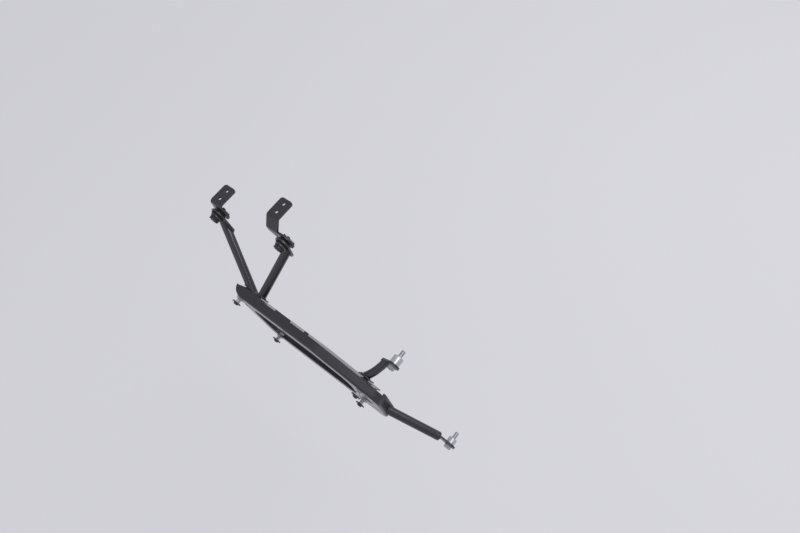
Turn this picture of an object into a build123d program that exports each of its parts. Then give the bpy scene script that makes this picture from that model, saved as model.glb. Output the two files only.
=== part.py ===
"""Pannier frame for the right-hand side of a motorbike.

A folded steel side plate carries the case on four mushroom studs. Four welded tube struts hold the
plate off the bike: two end in eyes with quarter-turn releases, two end in bolted eyes.
X points forward, Y towards the bike, Z up, in millimetres. The origin is the face of the front spacer,
where it meets the bike.
"""

import os
from math import radians, tan

from build123d import *

# Side plate
SHEET = 2.5
PLATE_LENGTH = 386.0
PLATE_HEIGHT = 150.0
PLATE_OUTER_Y = -83.0
PLATE_TOP_Z = -10.0
PLATE_FRONT_X = 0.0
KNEE_FROM_FRONT = 155.0
TOP_FALL_ANGLE = 15.6
REAR_LEAN_ANGLE = 21.5
TOP_FLANGE_WIDTH = 19.0
FLANGE_WIDTH = 24.0
REAR_TOP_RADIUS = 28.0
REAR_BOTTOM_RADIUS = 38.0
FRONT_TOP_RADIUS = 30.0
FRONT_BOTTOM_RADIUS = 22.0
KNEE_RADIUS = 90.0
BEND_RADIUS = 4.0
WINDOW_RAIL = 27.0
WINDOW_REAR_LEG = 32.0
WINDOW_FRONT_LEG = 70.0
WINDOW_RADIUS = 26.0

# Leaf at the rear end of the top flange, over a notch in the flange's corner
LEAF_TIP = (-377.5, -65.0)
LEAF_EDGE = (-369.5, -76.0)
LEAF_ROOT = (-353.0, -82.0)
LEAF_FRONT_X = -338.0
LEAF_TIP_RADIUS = 1.5
REAR_NOTCH_DEPTH = 48.0
TOP_BAND = 12.0

# Lips that hang from the inner edge of the top flange, and the slots along their bends
LIP_DEPTH = 30.0
LIP_LEAN_ANGLE = 8.0
LIP_CHAMFER = 14.0
REAR_LIP_FROM_REAR = 27.0
REAR_LIP_LENGTH = 93.0
MIDDLE_LIP_BEHIND_KNEE = 71.0
MIDDLE_LIP_LENGTH = 40.0
FRONT_LIP_BEHIND_KNEE = 22.0
FRONT_LIP_FROM_FRONT = 23.0
LIP_SLOT_WIDTH = 4.5
LIP_SLOT_INSET = 4.0
REAR_STRUT_SEAT = 48.0
FRONT_STRUT_SEAT = 24.0

# Holes in the side plate
REAR_HOLE_FROM_REAR = 32.0
REAR_HOLE_BELOW_TOP = 42.0
REAR_HOLE_RADIUS = 4.5
FRONT_HOLE_FROM_FRONT = 34.0
FRONT_HOLE_ABOVE_BOTTOM = 62.0
FRONT_HOLE_RADIUS = 9.5
SMALL_HOLES_FROM_FRONT = 14.0
SMALL_HOLES_ABOVE_BOTTOM = (26.0, 44.0, 88.0)
SMALL_HOLE_RADIUS = 2.75

# Case studs
REAR_UPPER_STUD_FROM_REAR = 24.0
REAR_LOWER_STUD_FROM_REAR = 83.0
FRONT_UPPER_STUD_FROM_FRONT = 45.0
FRONT_LOWER_STUD_FROM_FRONT = 62.0
UPPER_STUDS_BELOW_TOP = 21.0
LOWER_STUDS_ABOVE_BOTTOM = 13.5
STUD_SCREW_RADIUS = 3.0
STUD_HOLE_CLEARANCE = 0.25
STUD_BASE_RADIUS = 8.0
STUD_BASE_THICKNESS = 2.5
STUD_NECK_RADIUS = 4.5
STUD_NECK_LENGTH = 7.0
STUD_DISC_RADIUS = 10.0
STUD_DISC_THICKNESS = 2.5
STUD_DISC_EDGE = 0.5
STUD_HEAD_RADIUS = 5.25
STUD_HEAD_HEIGHT = 3.0
STUD_HEX_ACROSS = 4.0
STUD_HEX_DEPTH = 2.0
STUD_NUT_ACROSS = 10.0
STUD_NUT_HEIGHT = 6.0
STUD_NUT_FLANGE_RADIUS = 6.8
STUD_NUT_FLANGE_HEIGHT = 1.4
STUD_SCREW_BEYOND_NUT = 1.5

# Struts
STRUT_RADIUS = 9.0
STRUT_WALL = 2.0
FRONT_STRUT_RADIUS = 8.0
STRUT_END_CAP = 4.0
STRUT_END_FILLET = 3.0
STRUT_FOOT_INBOARD = 24.0
STRUT_FOOT_BELOW_TOP = 14.0
REAR_STRUT_FOOT_FROM_REAR = 45.0
REAR_STRUT_END = (-443.0, 61.0)
MIDDLE_STRUT_FOOT_FROM_REAR = 66.0
MIDDLE_STRUT_END = (-289.0, 62.0)
FRONT_STRUT_FOOT_FROM_FRONT = 54.0
FRONT_STRUT_BEND = (-31.0, -40.0, -27.0)
FRONT_STRUT_END = (-19.0, -10.0)
LOWER_STRUT_FOOT_INBOARD = 13.0
LOWER_STRUT_FOOT_ABOVE_BOTTOM = 27.0
LOWER_STRUT_END = (91.0, -45.0, -197.0)

# Strut eyes
EYE_PLATE = 4.0
EYE_RADIUS = 17.0
REAR_EYE_AT = (-446.0, 92.0)
REAR_EYE_ROOT_AT = (-438.0, 56.0)
REAR_EYE_Y = 6.0
MIDDLE_EYE_AT = (-287.0, 90.0)
MIDDLE_EYE_ROOT_AT = (-289.5, 60.0)
MIDDLE_EYE_Y = 30.0
EYE_ROOT_RADIUS = 14.0
FRONT_EYE_RADIUS = 13.0
FRONT_EYE_ROOT_RADIUS = 9.0
LOWER_EYE_AT = (112.0, -208.0)
LOWER_EYE_RADIUS = 13.0
LOWER_EYE_TONGUE = 12.0

# Quarter-turn releases
GROMMET_FLANGE_RADIUS = 14.0
GROMMET_FLANGE = 3.0
GROMMET_HUB_RADIUS = 9.0
GROMMET_BORE_CLEARANCE = 0.08
EYE_BORE_CLEARANCE = 0.05
KNOB_RADIUS = 10.0
KNOB_HEIGHT = 9.0
KNOB_GRIPS = 8
KNOB_GRIP_RADIUS = 2.2
KNOB_SLOT_WIDTH = 3.0
KNOB_SLOT_DEPTH = 3.0
SHANK_RADIUS = 4.0
CUP_RADIUS = 12.0
CUP_THICKNESS = 1.0
CUP_RIM = 2.5
RELEASE_GAP = 0.3
CLIP_RADIUS = 7.0
CLIP_THICKNESS = 1.0
CLIP_MOUTH = 5.0
BRACKET_PLATE = 4.0
BRACKET_WIDTH = 30.0
BRACKET_BEND = 6.0
CATCH_RADIUS = 12.0
CATCH_THICKNESS = 2.0
CATCH_EAR_OFFSET = 15.5
CATCH_EAR_RADIUS = 4.0
CATCH_STOP_HEIGHT = 3.2
CATCH_STOP_SIZE = (5.5, 4.0)
CATCH_STOP_OFFSET = 8.25
CATCH_STOP_ANGLE = 135.0
CROSS_PIN_RADIUS = 1.5
CROSS_PIN_LENGTH = 16.0
KEYHOLE_CLEARANCE = 0.5
SHANK_TIP = 3.0
RIVET_RADIUS = 2.0
RIVET_HEAD_RADIUS = 3.2
RIVET_HEAD_HEIGHT = 1.3
REAR_BRACKET_RISE = 30.0
REAR_BRACKET_LEAN = 0.0
REAR_BRACKET_TAB = 46.0
MIDDLE_BRACKET_RISE = 42.0
MIDDLE_BRACKET_LEAN = -29.0
MIDDLE_BRACKET_TAB = 58.0
MIDDLE_BRACKET_SLOPE = (14.0, 24.0)
BRACKET_HOLE_RADIUS = 3.3
BRACKET_HOLE_SPACING = 20.0
BRACKET_HOLE_EDGE = 11.0

# Bolted ends
BOLT_RADIUS = 4.0
BOLT_THREAD_RADIUS = 3.9
BOLT_TIP_CHAMFER = 0.8
BOLT_RELIEF_RADIUS = 3.3
BOLT_RELIEF_LENGTH = 3.0
BOLT_CLEARANCE = 0.3
BOLT_ACROSS = 13.0
BOLT_HEAD_HEIGHT = 5.3
WASHER_RADIUS = 8.5
WASHER_THICKNESS = 1.6
FRONT_SPACER_RADIUS = 10.0
FRONT_SPACER_LENGTH = 16.0
LOWER_SPACER_RADIUS = 9.0
LOWER_SPACER_LENGTH = 12.0
BOLT_PROTRUSION = 14.0

# Worked-out places
PLATE_REAR_X = PLATE_FRONT_X - PLATE_LENGTH
PLATE_BOTTOM_Z = PLATE_TOP_Z - PLATE_HEIGHT
TOP_KNEE_X = PLATE_FRONT_X - KNEE_FROM_FRONT
PLATE_INNER_Y = PLATE_OUTER_Y + SHEET
TOP_FLANGE_EDGE_Y = PLATE_OUTER_Y + TOP_FLANGE_WIDTH
LIP_OUTER_Y = TOP_FLANGE_EDGE_Y + LIP_SLOT_WIDTH
LIP_INNER_Y = LIP_OUTER_Y + SHEET
STRUT_FOOT_Y = PLATE_OUTER_Y + STRUT_FOOT_INBOARD
FALL = tan(radians(TOP_FALL_ANGLE))
REAR_LEAN = tan(radians(REAR_LEAN_ANGLE))
LIP_LEAN = tan(radians(LIP_LEAN_ANGLE))
PLATE_REAR_BOTTOM_X = PLATE_REAR_X + PLATE_HEIGHT * REAR_LEAN
TOP_FRONT_Z = PLATE_TOP_Z - (PLATE_FRONT_X - TOP_KNEE_X) * FALL
FRONT_EYE_Y = -FRONT_SPACER_LENGTH - EYE_PLATE
LOWER_EYE_Y = LOWER_STRUT_END[1] - EYE_PLATE / 2
LOWER_SEAT_Y = LOWER_EYE_Y + EYE_PLATE + LOWER_SPACER_LENGTH


def side_plane(y):
    """Plane at a given Y, with its x axis forward, its y axis up and its normal away from the bike."""
    return Plane(origin=(0, y, 0), x_dir=(1, 0, 0), z_dir=(0, -1, 0))


def top_z(x):
    """Height of the plate's top edge above a place along its length."""
    return PLATE_TOP_Z - max(0.0, x - TOP_KNEE_X) * FALL


def lip_plane(x):
    """Plane on the inner face of the lip at a place along the plate, with its normal towards the bike."""
    fall = FALL if x > TOP_KNEE_X else 0.0
    return Plane(origin=(x, LIP_INNER_Y, top_z(x)), z_dir=(fall * LIP_LEAN, 1, LIP_LEAN))


def below_top(x, distance):
    """Point in the side view, at a distance below the plate's top edge."""
    return (x, top_z(x) - distance)


def save(solid, name):
    """Label a finished piece and write it."""
    solid.label = name
    export_step(solid, f"parts/{name}.step")


os.makedirs("parts", exist_ok=True)

case_studs_at = {
    "rear_upper": below_top(PLATE_REAR_X + REAR_UPPER_STUD_FROM_REAR, UPPER_STUDS_BELOW_TOP),
    "rear_lower": (PLATE_REAR_X + REAR_LOWER_STUD_FROM_REAR, PLATE_BOTTOM_Z + LOWER_STUDS_ABOVE_BOTTOM),
    "front_upper": below_top(PLATE_FRONT_X - FRONT_UPPER_STUD_FROM_FRONT, UPPER_STUDS_BELOW_TOP),
    "front_lower": (PLATE_FRONT_X - FRONT_LOWER_STUD_FROM_FRONT, PLATE_BOTTOM_Z + LOWER_STUDS_ABOVE_BOTTOM),
}
rear_lip_x = PLATE_REAR_X + REAR_LIP_FROM_REAR
middle_lip_x = TOP_KNEE_X - MIDDLE_LIP_BEHIND_KNEE
front_lip_x = TOP_KNEE_X - FRONT_LIP_BEHIND_KNEE
lips = (
    (rear_lip_x, rear_lip_x + REAR_LIP_LENGTH, REAR_STRUT_SEAT, LIP_SLOT_INSET),
    (middle_lip_x, middle_lip_x + MIDDLE_LIP_LENGTH, LIP_SLOT_INSET, LIP_SLOT_INSET),
    (front_lip_x, PLATE_FRONT_X - FRONT_LIP_FROM_FRONT, LIP_SLOT_INSET, FRONT_STRUT_SEAT),
)
rear_foot_at = below_top(PLATE_REAR_X + REAR_STRUT_FOOT_FROM_REAR, STRUT_FOOT_BELOW_TOP)
middle_foot_at = below_top(PLATE_REAR_X + MIDDLE_STRUT_FOOT_FROM_REAR, STRUT_FOOT_BELOW_TOP)
front_foot_at = below_top(PLATE_FRONT_X - FRONT_STRUT_FOOT_FROM_FRONT, STRUT_FOOT_BELOW_TOP)

# Side plate: a tray folded from one sheet, with a window, hanging lips and slotted bends
with BuildSketch(side_plane(PLATE_OUTER_Y)) as plate_outline:
    with BuildLine():
        Polyline(
            (PLATE_REAR_BOTTOM_X, PLATE_BOTTOM_Z),
            (PLATE_REAR_X, PLATE_TOP_Z),
            (TOP_KNEE_X, PLATE_TOP_Z),
            (PLATE_FRONT_X, TOP_FRONT_Z),
            (PLATE_FRONT_X, PLATE_BOTTOM_Z),
            close=True,
        )
    make_face()
    for corner, corner_radius in (
        ((PLATE_REAR_BOTTOM_X, PLATE_BOTTOM_Z), REAR_BOTTOM_RADIUS),
        ((PLATE_REAR_X, PLATE_TOP_Z), REAR_TOP_RADIUS),
        ((TOP_KNEE_X, PLATE_TOP_Z), KNEE_RADIUS),
        ((PLATE_FRONT_X, TOP_FRONT_Z), FRONT_TOP_RADIUS),
        ((PLATE_FRONT_X, PLATE_BOTTOM_Z), FRONT_BOTTOM_RADIUS),
    ):
        fillet(plate_outline.vertices().sort_by_distance(corner)[0], corner_radius)

with BuildSketch(side_plane(PLATE_OUTER_Y)) as window_outline:
    with BuildLine():
        window_rear = PLATE_REAR_X + WINDOW_REAR_LEG + WINDOW_RAIL * REAR_LEAN
        window_front = PLATE_FRONT_X - WINDOW_FRONT_LEG
        window_bottom = PLATE_BOTTOM_Z + WINDOW_RAIL
        Polyline(
            (window_rear + (PLATE_HEIGHT - 2 * WINDOW_RAIL) * REAR_LEAN, window_bottom),
            (window_rear, PLATE_TOP_Z - WINDOW_RAIL),
            (TOP_KNEE_X, PLATE_TOP_Z - WINDOW_RAIL),
            (window_front, top_z(window_front) - WINDOW_RAIL),
            (window_front, window_bottom),
            close=True,
        )
    make_face()
    window_corners = window_outline.vertices().sort_by(Axis.X)
    fillet(window_corners[0:2] + window_corners[3:5], WINDOW_RADIUS)

with BuildPart() as side_plate:
    extrude(plate_outline.sketch, amount=-FLANGE_WIDTH)
    bend_edges = side_plate.faces().sort_by(Axis.Y)[0].edges()
    fillet(bend_edges, BEND_RADIUS)
    with BuildSketch(side_plane(PLATE_INNER_Y)):
        add(plate_outline.sketch.face().moved(Location((0, SHEET, 0))))
        offset(amount=-SHEET, mode=Mode.REPLACE)
    extrude(amount=-FLANGE_WIDTH, mode=Mode.SUBTRACT)
    with BuildSketch(side_plane(TOP_FLANGE_EDGE_Y)):
        with Locations((PLATE_REAR_X, PLATE_TOP_Z)):
            Rectangle(PLATE_LENGTH, TOP_BAND, align=(Align.MIN, Align.MAX))
        with BuildLine():
            Polyline(
                (TOP_KNEE_X, PLATE_TOP_Z - TOP_BAND),
                (PLATE_FRONT_X, TOP_FRONT_Z - TOP_BAND),
                (PLATE_FRONT_X, PLATE_TOP_Z - TOP_BAND),
                close=True,
            )
        make_face()
    extrude(amount=-FLANGE_WIDTH, mode=Mode.SUBTRACT)
    with BuildSketch(side_plane(PLATE_OUTER_Y + BEND_RADIUS)):
        with Locations((PLATE_REAR_X, PLATE_TOP_Z)):
            Rectangle(LEAF_FRONT_X - PLATE_REAR_X, REAR_NOTCH_DEPTH, align=(Align.MIN, Align.MAX))
    extrude(amount=-FLANGE_WIDTH, mode=Mode.SUBTRACT)
    with BuildSketch(Plane.XY.offset(PLATE_TOP_Z)) as leaf:
        with BuildLine():
            ThreePointArc(LEAF_TIP, LEAF_EDGE, LEAF_ROOT)
            Polyline(
                LEAF_ROOT,
                (LEAF_FRONT_X, LEAF_ROOT[1]),
                (LEAF_FRONT_X, TOP_FLANGE_EDGE_Y),
                (LEAF_TIP[0], TOP_FLANGE_EDGE_Y),
                LEAF_TIP,
            )
        make_face()
    extrude(amount=-SHEET)
    for lip_rear, lip_front, _, _ in lips:
        with BuildPart(mode=Mode.PRIVATE) as strip:
            for run_rear, run_front, fall in (
                (lip_rear, min(TOP_KNEE_X, lip_front), 0.0),
                (max(TOP_KNEE_X, lip_rear), lip_front, FALL),
            ):
                if run_front > run_rear:
                    with BuildSketch(Plane.YZ.offset(run_rear)):
                        bend_start = (LIP_INNER_Y - BEND_RADIUS, PLATE_TOP_Z)
                        bend_end = (LIP_INNER_Y + BEND_RADIUS * LIP_LEAN, PLATE_TOP_Z - BEND_RADIUS)
                        with BuildLine():
                            TangentArc(bend_start, bend_end, tangent=(1, 0))
                            Polyline(
                                bend_end,
                                (LIP_INNER_Y + LIP_DEPTH * LIP_LEAN, PLATE_TOP_Z - LIP_DEPTH),
                                (LIP_OUTER_Y + LIP_DEPTH * LIP_LEAN, PLATE_TOP_Z - LIP_DEPTH),
                                (LIP_OUTER_Y, PLATE_TOP_Z - SHEET),
                                (TOP_FLANGE_EDGE_Y - SHEET, PLATE_TOP_Z - SHEET),
                                (TOP_FLANGE_EDGE_Y - SHEET, PLATE_TOP_Z),
                                bend_start,
                            )
                        make_face()
                    extrude(amount=run_front - run_rear, dir=(1, 0, -fall))
        with BuildPart(mode=Mode.PRIVATE) as lip:
            with BuildSketch(side_plane(TOP_FLANGE_EDGE_Y - SHEET)):
                with BuildLine():
                    chamfer_rear = lip_rear + LIP_CHAMFER
                    chamfer_front = lip_front - LIP_CHAMFER
                    knee = min(max(TOP_KNEE_X, chamfer_rear + 1), chamfer_front - 1)
                    Polyline(
                        (lip_rear, top_z(lip_rear)),
                        (lip_rear, top_z(lip_rear) - LIP_DEPTH + LIP_CHAMFER),
                        (chamfer_rear, top_z(chamfer_rear) - LIP_DEPTH),
                        (knee, top_z(knee) - LIP_DEPTH),
                        (chamfer_front, top_z(chamfer_front) - LIP_DEPTH),
                        (lip_front, top_z(lip_front) - LIP_DEPTH + LIP_CHAMFER),
                        (lip_front, top_z(lip_front)),
                        (knee, top_z(knee)),
                        close=True,
                    )
                make_face()
                add(plate_outline.sketch.face().moved(Location((0, TOP_FLANGE_WIDTH - SHEET, 0))), mode=Mode.INTERSECT)
            extrude(amount=-LIP_DEPTH)
            add(strip.part, mode=Mode.INTERSECT)
        add(lip.part)
    for lip_rear, lip_front, rear_inset, front_inset in lips:
        slot_rear = lip_rear + rear_inset
        slot_front = lip_front - front_inset
        slot_middle = (slot_rear + slot_front) / 2
        with BuildSketch(Plane.XY.offset(PLATE_TOP_Z)):
            with Locations((slot_middle, TOP_FLANGE_EDGE_Y + LIP_SLOT_WIDTH / 2)):
                SlotOverall(slot_front - slot_rear, LIP_SLOT_WIDTH)
        extrude(amount=-LIP_DEPTH - (top_z(slot_rear) - top_z(slot_front)), mode=Mode.SUBTRACT)
    extrude(window_outline.sketch, amount=-SHEET, mode=Mode.SUBTRACT)
    with BuildSketch(side_plane(PLATE_OUTER_Y)):
        with Locations(below_top(PLATE_REAR_X + REAR_HOLE_FROM_REAR, REAR_HOLE_BELOW_TOP)):
            Circle(REAR_HOLE_RADIUS)
        with Locations((PLATE_FRONT_X - FRONT_HOLE_FROM_FRONT, PLATE_BOTTOM_Z + FRONT_HOLE_ABOVE_BOTTOM)):
            Circle(FRONT_HOLE_RADIUS)
        for height in SMALL_HOLES_ABOVE_BOTTOM:
            with Locations((PLATE_FRONT_X - SMALL_HOLES_FROM_FRONT, PLATE_BOTTOM_Z + height)):
                Circle(SMALL_HOLE_RADIUS)
        with Locations(list(case_studs_at.values())):
            Circle(STUD_SCREW_RADIUS + STUD_HOLE_CLEARANCE)
    extrude(amount=-SHEET, mode=Mode.SUBTRACT)
save(side_plate.part, "side_plate")

# Case studs: a turned spool stands on the plate, a disc caps it, and a screw and a flange nut hold them
spool_base_y = PLATE_OUTER_Y - STUD_BASE_THICKNESS
disc_y = spool_base_y - STUD_NECK_LENGTH
head_y = disc_y - STUD_DISC_THICKNESS
nut_end_y = PLATE_INNER_Y + STUD_NUT_HEIGHT
for place, centre in case_studs_at.items():
    with BuildPart() as case_stud_spool:
        with BuildSketch(side_plane(PLATE_OUTER_Y)):
            with Locations(centre):
                Circle(STUD_BASE_RADIUS)
        extrude(amount=STUD_BASE_THICKNESS)
        chamfer(case_stud_spool.faces().sort_by(Axis.Y)[0].edges(), STUD_BASE_THICKNESS / 3)
        with BuildSketch(side_plane(spool_base_y)):
            with Locations(centre):
                Circle(STUD_NECK_RADIUS)
        extrude(amount=STUD_NECK_LENGTH)
        with BuildSketch(side_plane(PLATE_OUTER_Y)):
            with Locations(centre):
                Circle(STUD_SCREW_RADIUS + STUD_HOLE_CLEARANCE)
        extrude(amount=STUD_BASE_THICKNESS + STUD_NECK_LENGTH, mode=Mode.SUBTRACT)
    save(case_stud_spool.part, f"{place}_stud_spool")

    with BuildPart() as case_stud_disc:
        with BuildSketch(side_plane(disc_y)):
            with Locations(centre):
                Circle(STUD_DISC_RADIUS)
                Circle(STUD_SCREW_RADIUS + STUD_HOLE_CLEARANCE, mode=Mode.SUBTRACT)
        extrude(amount=STUD_DISC_THICKNESS)
        rim = case_stud_disc.edges().filter_by(GeomType.CIRCLE).group_by(SortBy.RADIUS)[-1]
        chamfer(rim, STUD_DISC_EDGE)
    save(case_stud_disc.part, f"{place}_stud_disc")

with BuildPart() as case_stud_screws:
    for centre in case_studs_at.values():
        with BuildSketch(side_plane(head_y)):
            with Locations(centre):
                Circle(STUD_HEAD_RADIUS)
        head = extrude(amount=STUD_HEAD_HEIGHT)
        dome = head.faces().sort_by(Axis.Y)[0].edges()
        chamfer(dome, STUD_HEAD_HEIGHT / 2)
        with BuildSketch(side_plane(head_y)):
            with Locations(centre):
                Circle(STUD_SCREW_RADIUS)
        extrude(amount=-(nut_end_y + STUD_SCREW_BEYOND_NUT - head_y))
        with BuildSketch(side_plane(head_y - STUD_HEAD_HEIGHT)):
            with Locations(centre):
                RegularPolygon(STUD_HEX_ACROSS / 2, 6, major_radius=False)
        extrude(amount=-STUD_HEX_DEPTH, mode=Mode.SUBTRACT)
save(case_stud_screws.part, "case_stud_screws")

with BuildPart() as case_stud_nuts:
    for centre in case_studs_at.values():
        with BuildSketch(side_plane(PLATE_INNER_Y)):
            with Locations(centre):
                Circle(STUD_NUT_FLANGE_RADIUS)
        extrude(amount=-STUD_NUT_FLANGE_HEIGHT)
        with BuildSketch(side_plane(PLATE_INNER_Y)):
            with Locations(centre):
                RegularPolygon(STUD_NUT_ACROSS / 2, 6, major_radius=False)
        extrude(amount=-STUD_NUT_HEIGHT)
    with BuildSketch(side_plane(PLATE_INNER_Y)):
        with Locations(list(case_studs_at.values())):
            Circle(STUD_SCREW_RADIUS)
    extrude(amount=-STUD_NUT_HEIGHT, mode=Mode.SUBTRACT)
save(case_stud_nuts.part, "case_stud_nuts")


def tube_plane(foot, end):
    """Plane at a tube's foot, with its normal along the tube."""
    return Plane(origin=foot, z_dir=(Vector(*end) - Vector(*foot)).normalized())


def strut_length(foot, end):
    """Length of a straight tube between two points."""
    return (Vector(*end) - Vector(*foot)).length


def make_strut_tube(foot, end, end_y):
    """Return a straight tube, cut flat on the plate's lip and on the outer face of its eye."""
    tube_foot = (foot[0], STRUT_FOOT_Y, foot[1])
    tube_end = (end[0], end_y, end[1])
    with BuildPart() as tube:
        with BuildSketch(tube_plane(tube_foot, tube_end).offset(-4 * STRUT_RADIUS)):
            Circle(STRUT_RADIUS)
            Circle(STRUT_RADIUS - STRUT_WALL, mode=Mode.SUBTRACT)
        extrude(amount=strut_length(tube_foot, tube_end) + 8 * STRUT_RADIUS)
        split(bisect_by=lip_plane(foot[0]), keep=Keep.TOP)
        split(bisect_by=Plane(origin=(0, end_y, 0), z_dir=(0, -1, 0)), keep=Keep.TOP)
    return tube


def make_release_eye(name, centre, root, eye_y):
    """Write the plate that holds one release, with the seat of its strut at the root."""
    with BuildPart() as eye:
        with BuildSketch(side_plane(eye_y)):
            with Locations(centre):
                Circle(EYE_RADIUS)
            with Locations(root):
                Circle(EYE_ROOT_RADIUS)
            make_hull()
            with Locations(centre):
                Circle(GROMMET_HUB_RADIUS + EYE_BORE_CLEARANCE, mode=Mode.SUBTRACT)
        extrude(amount=-EYE_PLATE)
    save(eye.part, f"{name}_eye")


# Rear strut and its eye
make_release_eye("rear", REAR_EYE_AT, REAR_EYE_ROOT_AT, REAR_EYE_Y)
rear_strut = make_strut_tube(rear_foot_at, REAR_STRUT_END, REAR_EYE_Y)
save(rear_strut.part, "rear_strut")

# Middle strut and its eye: the foot is cut to sit round the rear strut
make_release_eye("middle", MIDDLE_EYE_AT, MIDDLE_EYE_ROOT_AT, MIDDLE_EYE_Y)
middle_tube = make_strut_tube(middle_foot_at, MIDDLE_STRUT_END, MIDDLE_EYE_Y)
rear_tube_foot = (rear_foot_at[0], STRUT_FOOT_Y, rear_foot_at[1])
rear_tube_end = (REAR_STRUT_END[0], REAR_EYE_Y, REAR_STRUT_END[1])
with BuildPart() as middle_strut:
    add(middle_tube.part)
    with BuildSketch(tube_plane(rear_tube_foot, rear_tube_end).offset(-4 * STRUT_RADIUS)):
        Circle(STRUT_RADIUS)
    extrude(amount=strut_length(rear_tube_foot, rear_tube_end), mode=Mode.SUBTRACT)
save(middle_strut.part, "middle_strut")

# Front strut: a tube bent in one arc from the plate's front lip to the front eye
front_foot = (front_foot_at[0], STRUT_FOOT_Y, front_foot_at[1])
front_end = (FRONT_STRUT_END[0], FRONT_EYE_Y, FRONT_STRUT_END[1])
with BuildPart() as front_strut:
    with BuildLine():
        front_path = ThreePointArc(front_foot, FRONT_STRUT_BEND, front_end)
        front_start = Line(front_foot, Vector(*front_foot) - (front_path % 0) * 2 * STRUT_RADIUS)
        front_finish = Line(front_end, Vector(*front_end) + (front_path % 1) * 2 * STRUT_RADIUS)
    with BuildSketch(Plane(origin=front_start @ 1, z_dir=front_path % 0)):
        Circle(FRONT_STRUT_RADIUS)
        Circle(FRONT_STRUT_RADIUS - STRUT_WALL, mode=Mode.SUBTRACT)
    sweep()
    split(bisect_by=lip_plane(front_foot_at[0]), keep=Keep.TOP)
    split(bisect_by=Plane(origin=(0, FRONT_EYE_Y, 0), z_dir=(0, -1, 0)), keep=Keep.TOP)
save(front_strut.part, "front_strut")

# Front eye: the plate that the front bolt clamps
with BuildPart() as front_eye:
    with BuildSketch(side_plane(FRONT_EYE_Y)):
        Circle(FRONT_EYE_RADIUS)
        with Locations(FRONT_STRUT_END):
            Circle(FRONT_EYE_ROOT_RADIUS)
        make_hull()
        Circle(BOLT_RADIUS + BOLT_CLEARANCE, mode=Mode.SUBTRACT)
    extrude(amount=-EYE_PLATE)
save(front_eye.part, "front_eye")

# Lower eye and lower strut: the eye's tongue is let into the closed end of the tube
lower_foot = (
    PLATE_FRONT_X,
    PLATE_OUTER_Y + LOWER_STRUT_FOOT_INBOARD,
    PLATE_BOTTOM_Z + LOWER_STRUT_FOOT_ABOVE_BOTTOM,
)
lower_plane = tube_plane(lower_foot, LOWER_STRUT_END)
lower_length = strut_length(lower_foot, LOWER_STRUT_END)
lower_run = Vector(*LOWER_STRUT_END) - Vector(*lower_foot)
tongue_back = LOWER_EYE_TONGUE / lower_run.length
with BuildPart() as lower_eye:
    with BuildSketch(side_plane(LOWER_EYE_Y)):
        with Locations(LOWER_EYE_AT):
            Circle(LOWER_EYE_RADIUS)
        with Locations(
            (
                LOWER_STRUT_END[0] - lower_run.X * tongue_back,
                LOWER_STRUT_END[2] - lower_run.Z * tongue_back,
            )
        ):
            Circle(STRUT_RADIUS)
        make_hull()
        with Locations(LOWER_EYE_AT):
            Circle(BOLT_RADIUS + BOLT_CLEARANCE, mode=Mode.SUBTRACT)
    extrude(amount=-EYE_PLATE)
save(lower_eye.part, "lower_eye")

with BuildPart() as lower_strut:
    with BuildSketch(lower_plane.offset(-2 * STRUT_RADIUS)):
        Circle(STRUT_RADIUS)
    extrude(amount=lower_length + 2 * STRUT_RADIUS)
    fillet(lower_strut.faces().sort_by(Axis.X)[-1].edges(), STRUT_END_FILLET)
    with BuildSketch(lower_plane.offset(-2 * STRUT_RADIUS)):
        Circle(STRUT_RADIUS - STRUT_WALL)
    extrude(amount=lower_length + 2 * STRUT_RADIUS - STRUT_END_CAP, mode=Mode.SUBTRACT)
    split(bisect_by=Plane(origin=(PLATE_FRONT_X, 0, 0), z_dir=(1, 0, 0)), keep=Keep.TOP)
    add(lower_eye.part, mode=Mode.SUBTRACT)
save(lower_strut.part, "lower_strut")


# Quarter-turn releases: distances run inwards along Y from the outer face of the eye
def release_plane(eye_y, inwards):
    """Side plane at a distance inwards from an eye's outer face."""
    return side_plane(eye_y + inwards)


CUP_AT = -GROMMET_FLANGE - CUP_THICKNESS
CLIP_AT = EYE_PLATE + GROMMET_FLANGE
BRACKET_AT = CLIP_AT + CLIP_THICKNESS + 2 * RELEASE_GAP
CATCH_AT = BRACKET_AT + BRACKET_PLATE
CROSS_PIN_AT = CATCH_AT + CATCH_THICKNESS + RELEASE_GAP + CROSS_PIN_RADIUS
SHANK_END = CROSS_PIN_AT + SHANK_TIP
CLIP_GROOVE_RADIUS = SHANK_RADIUS - CLIP_THICKNESS / 2
KEYHOLE_LENGTH = CROSS_PIN_LENGTH + 2 * KEYHOLE_CLEARANCE
KEYHOLE_WIDTH = 2 * (CROSS_PIN_RADIUS + KEYHOLE_CLEARANCE)


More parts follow.
